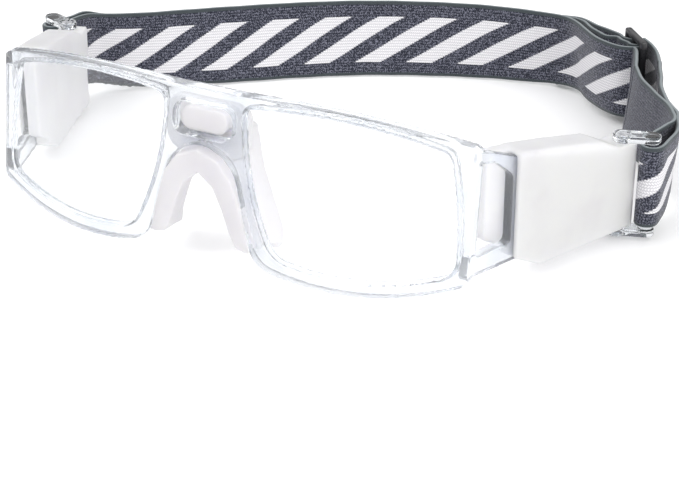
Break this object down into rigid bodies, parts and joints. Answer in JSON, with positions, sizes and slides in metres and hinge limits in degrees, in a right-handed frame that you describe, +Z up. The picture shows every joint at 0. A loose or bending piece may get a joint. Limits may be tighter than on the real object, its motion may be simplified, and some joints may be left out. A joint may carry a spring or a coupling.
{
  "type": "sports protective goggles",
  "caption": "Clear wraparound sports goggles with silicone nose piece and temple sleeves, swivelling strap brackets and an adjustable striped elastic head strap.",
  "frame": {"origin": "on the surface the goggles stand on, under the middle of the bounding box", "axes": "+X is the wearer's left, -Y is the way the goggles face, +Z is up"},
  "size_m": [0.2167, 0.1774, 0.0513],
  "materials": {
    "clear_frame": "clear polycarbonate, polished",
    "clear_lens": "clear hard-coated lens",
    "soft_silicone": "milky translucent silicone",
    "clear_bracket": "clear moulded plastic",
    "screw_steel": "small turned screw",
    "strap_webbing": "navy elastic jacquard with pale slanted stripes",
    "slider_black": "black moulded plastic",
    "stitch_thread": "polyester sewing thread"
  },
  "bodies": {
    "goggles": {"front_frame": "clear_frame", "left_lens": "clear_lens", "right_lens": "clear_lens", "nose_piece": "soft_silicone", "left_temple_sleeve": "soft_silicone", "right_temple_sleeve": "soft_silicone", "bracket_screws": "screw_steel", "strap_right_run": "strap_webbing", "strap_back_band": "strap_webbing", "strap_left_bend": "strap_webbing", "strap_outer_leg": "strap_webbing", "strap_inner_leg": "strap_webbing"},
    "left_bracket": {"left_strap_bracket": "clear_bracket", "strap_left_loop": "strap_webbing"},
    "right_bracket": {"right_strap_bracket": "clear_bracket", "strap_right_loop": "strap_webbing", "strap_right_stitches": "stitch_thread"},
    "slider": {"strap_slider": "slider_black", "strap_tail": "strap_webbing", "strap_tail_stitches": "stitch_thread"}
  },
  "joints": [
    {"name": "left_bracket_swivel", "type": "hinge", "parent": "goggles", "child": "left_bracket", "pos_m": [0.0968, -0.01549, 0.017], "axis": [0, 0, 1], "range_deg": [-15, 55], "deforming": ["strap_outer_leg", "strap_inner_leg"]},
    {"name": "right_bracket_swivel", "type": "hinge", "parent": "goggles", "child": "right_bracket", "pos_m": [-0.0968, -0.01549, 0.017], "axis": [0, 0, -1], "range_deg": [-15, 55], "deforming": ["strap_right_run"]},
    {"name": "slider_slide", "type": "slide", "parent": "goggles", "child": "slider", "axis": [-0.6521, 0.7581, 0], "range_m": [-0.003, 0.003], "deforming": ["strap_left_bend", "strap_outer_leg", "strap_inner_leg", "strap_tail"]}
  ]
}
